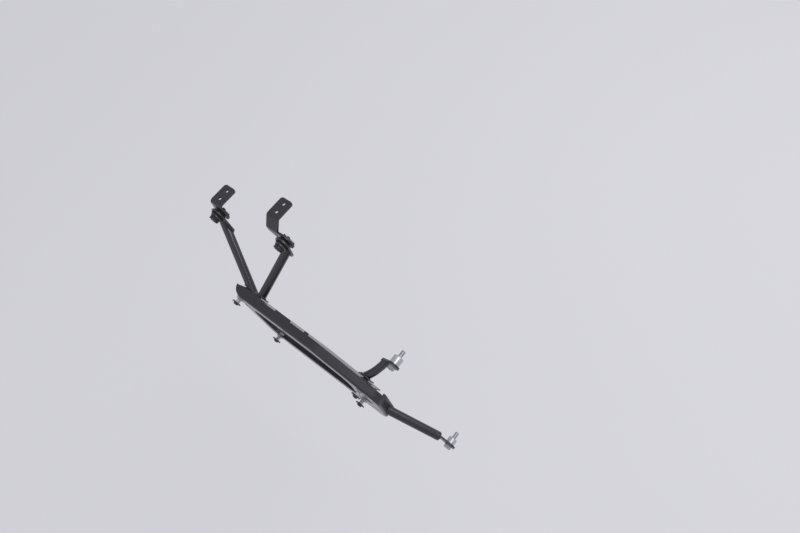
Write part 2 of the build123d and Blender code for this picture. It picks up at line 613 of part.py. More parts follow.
def make_release(name, centre, eye_y):
    """Write the pieces of one quarter-turn release."""
    x, z = centre
    with BuildPart() as grommet:
        with BuildSketch(release_plane(eye_y, -GROMMET_FLANGE)):
            with Locations(centre):
                Circle(GROMMET_FLANGE_RADIUS)
        extrude(amount=-GROMMET_FLANGE)
        with BuildSketch(release_plane(eye_y, 0)):
            with Locations(centre):
                Circle(GROMMET_HUB_RADIUS)
        extrude(amount=-EYE_PLATE)
        with BuildSketch(release_plane(eye_y, EYE_PLATE)):
            with Locations(centre):
                Circle(GROMMET_FLANGE_RADIUS)
        extrude(amount=-GROMMET_FLANGE)
        rims = grommet.edges().filter_by(GeomType.CIRCLE).group_by(SortBy.RADIUS)[-1]
        chamfer(rims, GROMMET_FLANGE / 4)
        with BuildSketch(release_plane(eye_y, -GROMMET_FLANGE)):
            with Locations(centre):
                Circle(SHANK_RADIUS + GROMMET_BORE_CLEARANCE)
        extrude(amount=-(EYE_PLATE + 2 * GROMMET_FLANGE), mode=Mode.SUBTRACT)
    save(grommet.part, f"{name}_release_grommet")

    with BuildPart() as cup:
        with BuildSketch(release_plane(eye_y, CUP_AT)):
            with Locations(centre):
                Circle(CUP_RADIUS)
        extrude(amount=-CUP_THICKNESS)
        with BuildSketch(release_plane(eye_y, CUP_AT)):
            with Locations(centre):
                Circle(CUP_RADIUS)
                Circle(CUP_RADIUS - CUP_THICKNESS, mode=Mode.SUBTRACT)
        extrude(amount=CUP_RIM)
        with BuildSketch(release_plane(eye_y, CUP_AT)):
            with Locations(centre):
                Circle(SHANK_RADIUS + GROMMET_BORE_CLEARANCE)
        extrude(amount=-CUP_THICKNESS, mode=Mode.SUBTRACT)
    save(cup.part, f"{name}_release_cup")

    knob_seat = CUP_AT - RELEASE_GAP
    with BuildPart() as stud:
        with BuildSketch(release_plane(eye_y, knob_seat)):
            with Locations(centre):
                Circle(KNOB_RADIUS)
                with PolarLocations(KNOB_RADIUS + KNOB_GRIP_RADIUS / 2, KNOB_GRIPS):
                    Circle(KNOB_GRIP_RADIUS, mode=Mode.SUBTRACT)
        extrude(amount=KNOB_HEIGHT)
        crown = stud.faces().sort_by(Axis.Y)[0].edges()
        chamfer(crown, KNOB_HEIGHT / 9)
        with BuildSketch(release_plane(eye_y, knob_seat - KNOB_HEIGHT)):
            with Locations(centre):
                Rectangle(2 * KNOB_RADIUS, KNOB_SLOT_WIDTH)
        extrude(amount=-KNOB_SLOT_DEPTH, mode=Mode.SUBTRACT)
        with BuildSketch(release_plane(eye_y, knob_seat)):
            with Locations(centre):
                Circle(SHANK_RADIUS)
        extrude(amount=knob_seat - SHANK_END)
        chamfer(stud.faces().sort_by(Axis.Y)[-1].edges(), SHANK_RADIUS / 4)
        with BuildSketch(release_plane(eye_y, CLIP_AT)):
            with Locations(centre):
                Circle(SHANK_RADIUS)
                Circle(CLIP_GROOVE_RADIUS, mode=Mode.SUBTRACT)
        extrude(amount=-CLIP_THICKNESS - RELEASE_GAP, mode=Mode.SUBTRACT)
        with BuildSketch(Plane.YZ.offset(x)):
            with Locations((eye_y + CROSS_PIN_AT, z)):
                Circle(CROSS_PIN_RADIUS)
        extrude(amount=CROSS_PIN_LENGTH / 2, both=True, mode=Mode.SUBTRACT)
    save(stud.part, f"{name}_release_stud")

    with BuildPart() as cross_pin:
        with BuildSketch(Plane.YZ.offset(x)):
            with Locations((eye_y + CROSS_PIN_AT, z)):
                Circle(CROSS_PIN_RADIUS)
        extrude(amount=CROSS_PIN_LENGTH / 2, both=True)
        chamfer(cross_pin.edges().filter_by(GeomType.CIRCLE), CROSS_PIN_RADIUS / 4)
    save(cross_pin.part, f"{name}_release_cross_pin")

    with BuildPart() as clip:
        with BuildSketch(release_plane(eye_y, CLIP_AT + RELEASE_GAP)):
            with Locations(centre):
                Circle(CLIP_RADIUS)
                Circle(CLIP_GROOVE_RADIUS, mode=Mode.SUBTRACT)
            with Locations((x, z - CLIP_RADIUS)):
                Rectangle(CLIP_MOUTH, 2 * CLIP_RADIUS, mode=Mode.SUBTRACT)
        extrude(amount=-CLIP_THICKNESS)
    save(clip.part, f"{name}_release_clip")

    with BuildPart() as catch:
        with BuildSketch(release_plane(eye_y, CATCH_AT)):
            with Locations(centre):
                Circle(CATCH_RADIUS)
            with Locations((x - CATCH_EAR_OFFSET, z), (x + CATCH_EAR_OFFSET, z)):
                Circle(CATCH_EAR_RADIUS)
            make_hull()
            with Locations(centre):
                Circle(SHANK_RADIUS + KEYHOLE_CLEARANCE, mode=Mode.SUBTRACT)
                SlotOverall(KEYHOLE_LENGTH, KEYHOLE_WIDTH, rotation=90, mode=Mode.SUBTRACT)
            with Locations((x - CATCH_EAR_OFFSET, z), (x + CATCH_EAR_OFFSET, z)):
                Circle(RIVET_RADIUS, mode=Mode.SUBTRACT)
        extrude(amount=-CATCH_THICKNESS)
        with BuildSketch(release_plane(eye_y, CATCH_AT + CATCH_THICKNESS)):
            with Locations(centre):
                with PolarLocations(CATCH_STOP_OFFSET, 2, start_angle=CATCH_STOP_ANGLE):
                    Rectangle(*CATCH_STOP_SIZE)
        extrude(amount=-CATCH_STOP_HEIGHT)
    save(catch.part, f"{name}_release_catch")

    rivet_span = BRACKET_PLATE + CATCH_THICKNESS
    with BuildPart() as rivets:
        for ear_x in (x - CATCH_EAR_OFFSET, x + CATCH_EAR_OFFSET):
            with BuildSketch(release_plane(eye_y, BRACKET_AT)):
                with Locations((ear_x, z)):
                    Circle(RIVET_RADIUS)
            extrude(amount=-rivet_span)
            with BuildSketch(release_plane(eye_y, BRACKET_AT + rivet_span)):
                with Locations((ear_x, z)):
                    Circle(RIVET_HEAD_RADIUS)
            rivet_head = extrude(amount=-RIVET_HEAD_HEIGHT)
            chamfer(rivet_head.faces().sort_by(Axis.Y)[-1].edges(), RIVET_HEAD_HEIGHT / 2)
    save(rivets.part, f"{name}_release_rivets")


def make_bracket(name, centre, eye_y, rise, lean, tab_length, bends):
    """Write the bracket that carries one release's catch.

    It is bent towards the bike at each of the bends, given as distances in and up from the tab's foot.
    """
    x, z = centre
    plate_y = eye_y + BRACKET_AT
    tab_end_y = plate_y + tab_length
    tab_z = z + rise
    tab_x = x + lean
    middle_y = plate_y + BRACKET_PLATE / 2
    middle_z = tab_z - BRACKET_PLATE / 2
    bend_start_z = middle_z + bends[0][1] - BRACKET_BEND - BRACKET_PLATE / 2
    with BuildPart() as bracket:
        with BuildSketch(side_plane(plate_y)):
            with Locations(centre):
                Circle(CATCH_EAR_OFFSET + CATCH_EAR_RADIUS)
            with Locations((tab_x, bend_start_z)):
                Rectangle(BRACKET_WIDTH, BRACKET_PLATE, align=(Align.CENTER, Align.MAX))
            make_hull()
        extrude(amount=-BRACKET_PLATE)
        with BuildLine():
            bend_path = FilletPolyline(
                (tab_x, middle_y, bend_start_z),
                *((tab_x, middle_y + inwards, middle_z + upwards) for inwards, upwards in bends),
                (tab_x, tab_end_y, middle_z),
                radius=BRACKET_BEND,
            )
        with BuildSketch(Plane.XY.offset(bend_start_z)):
            with Locations((tab_x, middle_y)):
                Rectangle(BRACKET_WIDTH, BRACKET_PLATE)
        sweep(path=bend_path)
        tab_corners = bracket.edges().filter_by(Axis.Z).group_by(Axis.Y)[-1]
        fillet(tab_corners, BRACKET_BEND)
        with BuildSketch(side_plane(plate_y)):
            with Locations(centre):
                Circle(SHANK_RADIUS + KEYHOLE_CLEARANCE)
                SlotOverall(KEYHOLE_LENGTH, KEYHOLE_WIDTH, rotation=90)
            with Locations((x - CATCH_EAR_OFFSET, z), (x + CATCH_EAR_OFFSET, z)):
                Circle(RIVET_RADIUS)
        extrude(amount=-BRACKET_PLATE, mode=Mode.SUBTRACT)
        with BuildSketch(Plane.XY.offset(tab_z)):
            hole_y = tab_end_y - BRACKET_HOLE_EDGE
            with Locations((tab_x, hole_y), (tab_x, hole_y - BRACKET_HOLE_SPACING)):
                Circle(BRACKET_HOLE_RADIUS)
        extrude(amount=-BRACKET_PLATE, mode=Mode.SUBTRACT)
    save(bracket.part, f"{name}_bracket")


make_release("rear", REAR_EYE_AT, REAR_EYE_Y)
make_release("middle", MIDDLE_EYE_AT, MIDDLE_EYE_Y)
slope_run, slope_rise = MIDDLE_BRACKET_SLOPE
make_bracket(
    "rear", REAR_EYE_AT, REAR_EYE_Y, REAR_BRACKET_RISE, REAR_BRACKET_LEAN, REAR_BRACKET_TAB, ((0.0, 0.0),)
)
make_bracket(
    "middle",
    MIDDLE_EYE_AT,
    MIDDLE_EYE_Y,
    MIDDLE_BRACKET_RISE,
    MIDDLE_BRACKET_LEAN,
    MIDDLE_BRACKET_TAB,
    ((0.0, -slope_rise), (slope_run, 0.0)),
)


def make_bolted_end(name, centre, eye_y, spacer_radius, spacer_length):
    """Write the bolt, washer and spacer of one bolted eye."""
    washer_y = eye_y - WASHER_THICKNESS
    spacer_y = eye_y + EYE_PLATE
    seat_y = spacer_y + spacer_length
    with BuildPart() as washer:
        with BuildSketch(side_plane(eye_y)):
            with Locations(centre):
                Circle(WASHER_RADIUS)
                Circle(BOLT_RADIUS + BOLT_CLEARANCE, mode=Mode.SUBTRACT)
        extrude(amount=WASHER_THICKNESS)
    save(washer.part, f"{name}_washer")

    with BuildPart() as bolt:
        with BuildSketch(side_plane(washer_y)):
            with Locations(centre):
                RegularPolygon(BOLT_ACROSS / 2, 6, major_radius=False)
        extrude(amount=BOLT_HEAD_HEIGHT)
        chamfer(bolt.faces().sort_by(Axis.Y)[0].edges(), BOLT_HEAD_HEIGHT / 8)
        with BuildSketch(side_plane(washer_y)):
            with Locations(centre):
                Circle(BOLT_RADIUS)
        extrude(amount=-(seat_y - BOLT_RELIEF_LENGTH - washer_y))
        with BuildSketch(side_plane(seat_y - BOLT_RELIEF_LENGTH)):
            with Locations(centre):
                Circle(BOLT_RELIEF_RADIUS)
        extrude(amount=-BOLT_RELIEF_LENGTH)
        with BuildSketch(side_plane(seat_y)):
            with Locations(centre):
                Circle(BOLT_THREAD_RADIUS)
        extrude(amount=-BOLT_PROTRUSION)
        chamfer(bolt.faces().sort_by(Axis.Y)[-1].edges(), BOLT_TIP_CHAMFER)
    save(bolt.part, f"{name}_bolt")

    with BuildPart() as spacer:
        with BuildSketch(side_plane(spacer_y)):
            with Locations(centre):
                Circle(spacer_radius)
        extrude(amount=-spacer_length)
        chamfer(spacer.edges().filter_by(GeomType.CIRCLE), WASHER_THICKNESS / 2)
        with BuildSketch(side_plane(spacer_y)):
            with Locations(centre):
                Circle(BOLT_RADIUS + BOLT_CLEARANCE)
        extrude(amount=-spacer_length, mode=Mode.SUBTRACT)
    save(spacer.part, f"{name}_spacer")


make_bolted_end("front", (0.0, 0.0), FRONT_EYE_Y, FRONT_SPACER_RADIUS, FRONT_SPACER_LENGTH)
make_bolted_end("lower", LOWER_EYE_AT, LOWER_EYE_Y, LOWER_SPACER_RADIUS, LOWER_SPACER_LENGTH)
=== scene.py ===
"""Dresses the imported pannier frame: folded lips, weld beads, threads, coats, plating and rubber."""

from math import cos, pi, radians, sin, tan

import bmesh
import bpy
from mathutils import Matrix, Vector


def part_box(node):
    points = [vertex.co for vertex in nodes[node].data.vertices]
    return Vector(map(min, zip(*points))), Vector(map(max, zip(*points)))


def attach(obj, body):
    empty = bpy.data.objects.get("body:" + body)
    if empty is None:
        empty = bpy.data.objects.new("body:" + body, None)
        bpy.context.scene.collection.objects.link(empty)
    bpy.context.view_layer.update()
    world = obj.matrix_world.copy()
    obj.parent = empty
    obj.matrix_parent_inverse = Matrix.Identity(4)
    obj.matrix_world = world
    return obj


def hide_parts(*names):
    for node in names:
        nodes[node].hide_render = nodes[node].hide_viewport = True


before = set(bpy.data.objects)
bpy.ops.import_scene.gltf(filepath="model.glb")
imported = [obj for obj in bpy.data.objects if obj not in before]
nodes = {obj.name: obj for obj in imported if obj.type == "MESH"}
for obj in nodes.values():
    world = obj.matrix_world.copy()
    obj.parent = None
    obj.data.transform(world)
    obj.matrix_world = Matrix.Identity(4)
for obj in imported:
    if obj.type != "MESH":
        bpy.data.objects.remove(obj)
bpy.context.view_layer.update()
scene = bpy.context.scene

# Camera: stands above and in front of the frame and looks back and down at it, as the
# photograph does.
camera_data = bpy.data.cameras.new("camera")
camera_data.lens = 28.8
camera_data.sensor_width = 36.0
camera = bpy.data.objects.new("camera", camera_data)
camera.location = (0.418, -0.196, 1.048)
camera.rotation_euler = (radians(29.33), radians(10.87), radians(38.86))
scene.collection.objects.link(camera)
scene.camera = camera

# Studio: a pale floor well below the frame, which hangs from its mounts, under two wide soft lamps.
# The floor is flat grey paint with a hint of blue, a little uneven in tone.
FLOOR_HEIGHT = -0.62
FLOOR_REACH = 12.0
FLOOR_PATCH = 1.25
SEEN_GREY = "#d7d6dd"
EVENNESS = 0.7


def linear(hex_colour):
    """Linear RGBA for an sRGB hex colour."""
    channels = [int(hex_colour[i : i + 2], 16) / 255 for i in (1, 3, 5)]
    return [c / 12.92 if c <= 0.04045 else ((c + 0.055) / 1.055) ** 2.4 for c in channels] + [1.0]


def add_node(tree, kind, inputs=None, **settings):
    """Add one node, with its settings, values and links from other nodes' sockets."""
    new_node = tree.nodes.new(kind)
    for setting, value in settings.items():
        setattr(new_node, setting, value)
    for socket, value in (inputs or {}).items():
        if isinstance(value, bpy.types.NodeSocket):
            tree.links.new(value, new_node.inputs[socket])
        else:
            new_node.inputs[socket].default_value = value
    return new_node


def new_material(name):
    """A material with an empty tree."""
    made = bpy.data.materials.new(name)
    made.use_nodes = True
    made.node_tree.nodes.clear()
    return made, made.node_tree


floor_paint, tree = new_material("painted_studio_floor")
place = add_node(tree, "ShaderNodeTexCoord")
patches = add_node(
    tree,
    "ShaderNodeTexNoise",
    {"Vector": place.outputs["Object"], "Scale": 1 / FLOOR_PATCH, "Detail": 2.0},
)
tone = add_node(
    tree,
    "ShaderNodeMix",
    {"Factor": patches.outputs["Fac"], 6: linear("#dad9dc"), 7: linear("#d5d4d8")},
    data_type="RGBA",
)
surface = add_node(tree, "ShaderNodeBsdfPrincipled", {"Base Color": tone.outputs[2], "Roughness": 0.8})
# Seen straight or mirrored in a gloss, the floor is evenly lit, with the frame's soft shadow kept.
seen = add_node(tree, "ShaderNodeLightPath")
seen_or_mirrored = add_node(
    tree,
    "ShaderNodeMath",
    {0: seen.outputs["Is Camera Ray"], 1: seen.outputs["Is Glossy Ray"]},
    operation="MAXIMUM",
)
even_share = add_node(
    tree, "ShaderNodeMath", {0: seen_or_mirrored.outputs["Value"], 1: EVENNESS}, operation="MULTIPLY"
)
even_light = add_node(tree, "ShaderNodeEmission", {"Color": linear(SEEN_GREY), "Strength": 1.0})
floor_look = add_node(
    tree,
    "ShaderNodeMixShader",
    {0: even_share.outputs["Value"], 1: surface.outputs["BSDF"], 2: even_light.outputs["Emission"]},
)
add_node(tree, "ShaderNodeOutputMaterial", {"Surface": floor_look.outputs["Shader"]})

floor_mesh = bpy.data.meshes.new("floor")
floor_corners = [
    (x * FLOOR_REACH, y * FLOOR_REACH, FLOOR_HEIGHT) for x, y in ((-1, -1), (1, -1), (1, 1), (-1, 1))
]
floor_mesh.from_pydata(floor_corners, [], [(0, 1, 2, 3)])
floor_mesh.materials.append(floor_paint)
floor = bpy.data.objects.new("floor", floor_mesh)
scene.collection.objects.link(floor)

world = bpy.data.worlds.new("studio")
world.use_nodes = True
tree = world.node_tree
tree.nodes.clear()
room_light = add_node(tree, "ShaderNodeBackground", {"Color": linear("#d2d2da"), "Strength": 0.84})
# Beyond the floor's edge the camera sees the same even grey as on it.
far_wall = add_node(tree, "ShaderNodeBackground", {"Color": linear(SEEN_GREY), "Strength": 0.97})
looked_at = add_node(tree, "ShaderNodeLightPath")
room = add_node(
    tree,
    "ShaderNodeMixShader",
    {
        0: looked_at.outputs["Is Camera Ray"],
        1: room_light.outputs["Background"],
        2: far_wall.outputs["Background"],
    },
)
add_node(tree, "ShaderNodeOutputWorld", {"Surface": room.outputs["Shader"]})
scene.world = world

for name, place, turn, size, power in (
    ("lamp_overhead", (0.9, 1.5, 2.2), (radians(-34), radians(22), 0), 1.8, 50.0),
    ("lamp_outer_side", (-0.9, -1.9, 1.3), (radians(55), 0, radians(-25)), 1.6, 4.0),
):
    lamp_data = bpy.data.lights.new(name, "AREA")
    lamp_data.size = size
    lamp_data.energy = power
    lamp = bpy.data.objects.new(name, lamp_data)
    lamp.location = place
    lamp.rotation_euler = turn
    scene.collection.objects.link(lamp)
scene.view_settings.view_transform = "Standard"


# Side plate and struts: mild steel, laser-cut and folded, tubes cut and welded, then powder coated
# together in satin black. The coat has a fine orange-peel grain and wears to a paler grey on edges.
GRAIN = 0.0016
PEEL = 0.006
DUST_PATCH = 0.111
RUBBED_EDGE = 0.0009
STRUTS = ("rear", "middle", "front", "lower")


def black_finish(name, dark, pale, roughness):
    """Black coat or plating: two near blacks, a coarse-drawn grain, and edges rubbed paler."""
    made, tree = new_material(name)
    place = add_node(tree, "ShaderNodeTexCoord")
    # Real grain is near 0.3 mm, too fine for the view, so it is drawn about five times as coarse.
    grain = add_node(
        tree, "ShaderNodeTexNoise", {"Vector": place.outputs["Object"], "Scale": 1 / GRAIN, "Detail": 3.0}
    )
    peel = add_node(
        tree, "ShaderNodeTexNoise", {"Vector": place.outputs["Object"], "Scale": 1 / PEEL, "Detail": 2.0}
    )
    dust = add_node(
        tree,
        "ShaderNodeTexNoise",
        {"Vector": place.outputs["Object"], "Scale": 1 / DUST_PATCH, "Detail": 5.0},
    )
    body = add_node(
        tree,
        "ShaderNodeMix",
        {"Factor": dust.outputs["Fac"], 6: linear(dark), 7: linear(pale)},
        data_type="RGBA",
    )
    # An edge is where the rounded normal turns away from the flat face's own.
    rounded = add_node(tree, "ShaderNodeBevel", {"Radius": RUBBED_EDGE}, samples=6)
    true_face = add_node(tree, "ShaderNodeNewGeometry")
    turned = add_node(
        tree,
        "ShaderNodeVectorMath",
        {0: rounded.outputs["Normal"], 1: true_face.outputs["Normal"]},
        operation="DOT_PRODUCT",
    )
    edge = add_node(
        tree,
        "ShaderNodeMapRange",
        {"Value": turned.outputs["Value"], "From Min": 0.97, "From Max": 0.80, "To Min": 0.0, "To Max": 1.0},
    )
    broken_edge = add_node(
        tree,
        "ShaderNodeMath",
        {0: edge.outputs["Result"], 1: grain.outputs["Fac"]},
        operation="MULTIPLY",
    )
    worn = add_node(
        tree,
        "ShaderNodeMix",
        {"Factor": broken_edge.outputs["Value"], 6: body.outputs[2], 7: linear("#4c4c50")},
        data_type="RGBA",
    )
    gloss = add_node(
        tree,
        "ShaderNodeMapRange",
        {"Value": dust.outputs["Fac"], "To Min": roughness - 0.05, "To Max": roughness + 0.07},
    )
    fine = add_node(
        tree,
        "ShaderNodeBump",
        {
            "Height": grain.outputs["Fac"],
            "Strength": 0.10,
            "Distance": 0.0004,
            "Normal": rounded.outputs["Normal"],
        },
    )
    rolling = add_node(
        tree,
        "ShaderNodeBump",
        {
            "Height": peel.outputs["Fac"],
            "Strength": 0.05,
            "Distance": 0.0010,
            "Normal": fine.outputs["Normal"],
        },
    )
    coat = add_node(
        tree,
        "ShaderNodeBsdfPrincipled",
        {
            "Base Color": worn.outputs[2],
            "Roughness": gloss.outputs["Result"],
            "IOR": 1.5,
            "Coat Weight": 0.5,
            "Coat Roughness": 0.18,
            "Normal": rolling.outputs["Normal"],
        },
    )
    add_node(tree, "ShaderNodeOutputMaterial", {"Surface": coat.outputs["BSDF"]})
    return made


def finish_nodes(material, *names):
    """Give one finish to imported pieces."""
    for name in names:
        for slot in nodes[name].material_slots:
            slot.material = material


satin_coat = black_finish("satin_powder_coat", "#15151a", "#1d1d24", 0.34)
finish_nodes(
    satin_coat,
    "side_plate",
    *(f"{place}_strut" for place in STRUTS),
    *(f"{place}_eye" for place in STRUTS),
)


# Hanging lips: flaps on the top flange's inner edge, folded down a little short of the square, so
# that they lean 14 degrees away from the plate. Between them the flange keeps its full width. They
# are one sheet with the plate and are coated with it.
# Places along the plate are X, edges are Y, and depths go down from the plate's top edge.
PLATE_TOP = -0.010
TOP_KNEE = -0.155
KNEE_BEND = 0.090
KNEE_STEP = 0.002
KNEE_STEPS = 6
TOP_FALL = radians(15.6)
SHEET = 0.0025
FLANGE_OVERLAP = -0.0665
FOLD_LINE = -0.0640
FOLD_ROUND = 0.0010
FOLD_CREST = 0.0003
FOLD_STEP = 0.0005
LIP_SLOPE = 0.242
LIP_DEPTH = 0.038
LIP_CORNER = 0.012
UNDER_FLANGE = 0.0012
FULL_FLANGE_EDGE = -0.0600
BROKEN_EDGE = 0.0004
LEAF_START = -0.376
LEAF_START_EDGE = -0.0645
LEAF_END = -0.352
LEAF_END_EDGE = -0.0590
OPENING_ABOVE = 0.004
OPENING_DEPTH = 0.037
OPENING_SIDE = -0.045
SAME_POINT = 0.000002
# Start and end of each stretch along the plate, from rear to front.
OPENINGS = ((-0.311, -0.264), (-0.230, -0.182), (-0.179, -0.060), (-0.037, -0.0215))
FULL_FLANGES = ((-0.267, -0.226), (-0.187, -0.177))
# Start under the full flange, start of the fold, end, and whether the end's lower corner is cut off.
LIPS = (
    (-0.332, -0.3105, -0.266, True),
    (-0.246, -0.226, -0.186, True),
    (-0.190, -0.177, -0.046, False),
    (-0.060, -0.0365, -0.0225, False),
)


def top_edge(x):
    """Height of the plate's top edge, level behind the knee's bend and falling in front of it."""
    bend_start = TOP_KNEE - KNEE_BEND * tan(TOP_FALL / 2)
    bend_end = bend_start + KNEE_BEND * sin(TOP_FALL)
    around = min(max(x, bend_start), bend_end) - bend_start
    height = PLATE_TOP - KNEE_BEND + (KNEE_BEND**2 - around**2) ** 0.5
    return height - max(0.0, x - bend_end) * tan(TOP_FALL)


def along_edge(start, end):
    """Places along the top edge, close together where it bends."""
    bends = [TOP_KNEE + step * KNEE_STEP for step in range(-KNEE_STEPS, KNEE_STEPS + 1)]
    return [start] + [x for x in bends if start < x < end] + [end]


def folded_run(name, rings):
    """Closed sheet through rings of (y, depth below the top edge), one ring at each place."""
    shape = bmesh.new()
    rows = [[shape.verts.new((x, y, top_edge(x) - depth)) for y, depth in ring] for x, ring in rings]
    for near, far in zip(rows, rows[1:]):
        for i in range(len(near)):
            j = (i + 1) % len(near)
            shape.faces.new((near[i], near[j], far[j], far[i]))
    shape.faces.new(rows[0])
    shape.faces.new(rows[-1])
    bmesh.ops.recalc_face_normals(shape, faces=shape.faces)
    mesh = bpy.data.meshes.new(name)
    shape.to_mesh(mesh)
    shape.free()
    run = bpy.data.objects.new(name, mesh)
    scene.collection.objects.link(run)
    return run


def lip_ring(depth, top=0.0):
    """Section of a lip: flange, tight fold, leaning flap and its under face."""
    foot = FOLD_LINE + LIP_SLOPE * depth
    return [
        (FLANGE_OVERLAP, top),
        (FOLD_LINE - FOLD_ROUND, top),
        (FOLD_LINE - FOLD_CREST, top + FOLD_CREST),
        (FOLD_LINE + LIP_SLOPE * FOLD_ROUND, top + FOLD_ROUND),
        (foot, depth),
        (foot - SHEET, depth),
        (FOLD_LINE - SHEET + LIP_SLOPE * SHEET, SHEET),
        (FLANGE_OVERLAP, SHEET),
    ]


def opening_ring():
    """Section of the band that the new edge takes the place of."""
    return [
        (FOLD_LINE, -OPENING_ABOVE),
        (OPENING_SIDE, -OPENING_ABOVE),
        (OPENING_SIDE, OPENING_DEPTH),
        (FOLD_LINE, OPENING_DEPTH),
    ]


def flange_ring(edge=FULL_FLANGE_EDGE):
    """Section of the flange out to its free edge."""
    return [
        (FLANGE_OVERLAP, 0.0),
        (edge - BROKEN_EDGE, 0.0),
        (edge, BROKEN_EDGE),
        (edge, SHEET),
        (FLANGE_OVERLAP, SHEET),
    ]


openings = [
    folded_run(f"opening_{number}", [(x, opening_ring()) for x in along_edge(start, end)])
    for number, (start, end) in enumerate(OPENINGS)
]
# At the rear end the flange widens from the leaf's tip to its full width.
leaf_rings = [(LEAF_START, flange_ring(LEAF_START_EDGE)), (LEAF_END, flange_ring(LEAF_END_EDGE))]
folded_edges = [folded_run("leaf_edge", leaf_rings)]
for number, (start, end) in enumerate(FULL_FLANGES):
    flange_rings = [(x, flange_ring()) for x in along_edge(start, end)]
    folded_edges.append(folded_run(f"flange_{number}", flange_rings))
for number, (start, fold_start, end, cut_corner) in enumerate(LIPS):
    # Behind its fold each lip runs on under the full flange.
    tucked_ring = lip_ring(LIP_DEPTH, UNDER_FLANGE)
    lip_rings = [(start, tucked_ring), (fold_start - FOLD_STEP, tucked_ring)]
    places = along_edge(fold_start, end)
    if cut_corner:
        places.insert(-1, end - LIP_CORNER)
    for x in places:
        depth = LIP_DEPTH - LIP_CORNER if cut_corner and x == end else LIP_DEPTH
        lip_rings.append((x, lip_ring(depth)))
    folded_edges.append(folded_run(f"lip_{number}", lip_rings))

merged = bmesh.new()
merged.from_mesh(nodes["side_plate"].data)
bmesh.ops.remove_doubles(merged, verts=merged.verts, dist=SAME_POINT)
plate_mesh = bpy.data.meshes.new("folded_side_plate")
merged.to_mesh(plate_mesh)
merged.free()
plate = bpy.data.objects.new("folded_side_plate", plate_mesh)
scene.collection.objects.link(plate)
for operation, tools in (("DIFFERENCE", openings), ("UNION", folded_edges)):
    for tool in tools:
        cut = plate.modifiers.new(tool.name, "BOOLEAN")
        cut.object = tool
        cut.operation = operation
        cut.solver = "EXACT"
graph = bpy.context.evaluated_depsgraph_get()
folded_mesh = bpy.data.meshes.new_from_object(plate.evaluated_get(graph))
plate.modifiers.clear()
plate.data = folded_mesh
folded_mesh.materials.append(satin_coat)
# Each face keeps its own normals, so no shading runs across the new folds.
for face in folded_mesh.polygons:
    face.use_smooth = False
for tool in openings + folded_edges:
    bpy.data.objects.remove(tool)
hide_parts("side_plate")
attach(plate, "frame")


# Welds: a fillet bead of overlapping ripples runs round each tube where it meets a lip, an eye or
# another tube. Each was laid before coating, so it carries the frame's own coat.
WELD_PITCH = 0.0012
WELD_RADIUS = 0.0017
WELD_FLATNESS = 0.75
WELD_STEPS = 72
TUBE_RADIUS = 0.009
FRONT_TUBE_RADIUS = 0.008
# The struts' feet are cut to faces that lean 8 degrees. The front one also falls with the top edge.
FOOT_FACE = Vector((0, 1, 0.1405))
FOOT_POINT = Vector((0, -0.057, -0.010))
FRONT_FOOT_FACE = Vector((0.0392, 1, 0.1405))
# Each tube's axis: a point on it at the foot and one at the eye.
REAR_FOOT = Vector((-0.341, -0.059, -0.024))
REAR_END = Vector((-0.443, 0.006, 0.061))
MIDDLE_FOOT = Vector((-0.320, -0.059, -0.024))
MIDDLE_END = Vector((-0.289, 0.030, 0.062))
FRONT_FOOT = Vector((-0.0483, -0.0560, -0.0466))
FRONT_END = Vector((-0.019, -0.020, -0.010))
LOWER_FOOT = Vector((0.0, -0.070, -0.133))
LOWER_END = Vector((0.091, -0.045, -0.197))
# The front tube bends, so its two ends run different ways.
FRONT_FOOT_ALONG = (0.669, 0.350, 0.656)
FRONT_END_ALONG = (0.332, 0.765, 0.551)
ACROSS = (0, 1, 0)
FORWARD = (1, 0, 0)


def weld_tree():
    """Geometry Nodes that lay flattened ripples along a line."""
    tree = bpy.data.node_groups.new("weld_bead", "GeometryNodeTree")
    for direction, kind, socket in (
        ("INPUT", "NodeSocketGeometry", "Line"),
        ("INPUT", "NodeSocketFloat", "Ripple Pitch"),
        ("INPUT", "NodeSocketFloat", "Ripple Radius"),
        ("INPUT", "NodeSocketMaterial", "Coat"),
        ("OUTPUT", "NodeSocketGeometry", "Bead"),
    ):
        tree.interface.new_socket(socket, in_out=direction, socket_type=kind)
    given = add_node(tree, "NodeGroupInput")
    line = add_node(tree, "GeometryNodeMeshToCurve", {"Mesh": given.outputs["Line"]})
    stations = add_node(
        tree,
        "GeometryNodeCurveToPoints",
        {"Curve": line.outputs["Curve"], "Length": given.outputs["Ripple Pitch"]},
        mode="LENGTH",
    )
    ripple = add_node(
        tree,
        "GeometryNodeMeshIcoSphere",
        {"Radius": given.outputs["Ripple Radius"], "Subdivisions": 3},
    )
    laid = add_node(
        tree,
        "GeometryNodeInstanceOnPoints",
        {
            "Points": stations.outputs["Points"],
            "Instance": ripple.outputs["Mesh"],
            "Rotation": stations.outputs["Rotation"],
            "Scale": (1.0, 1.0, WELD_FLATNESS),
        },
    )
    solid = add_node(tree, "GeometryNodeRealizeInstances", {"Geometry": laid.outputs["Instances"]})
    smooth = add_node(tree, "GeometryNodeSetShadeSmooth", {"Geometry": solid.outputs["Geometry"]})
    coated = add_node(
        tree,
        "GeometryNodeSetMaterial",
        {"Geometry": smooth.outputs["Geometry"], "Material": given.outputs["Coat"]},
    )
    add_node(tree, "NodeGroupOutput", {"Bead": coated.outputs["Geometry"]})
    return tree


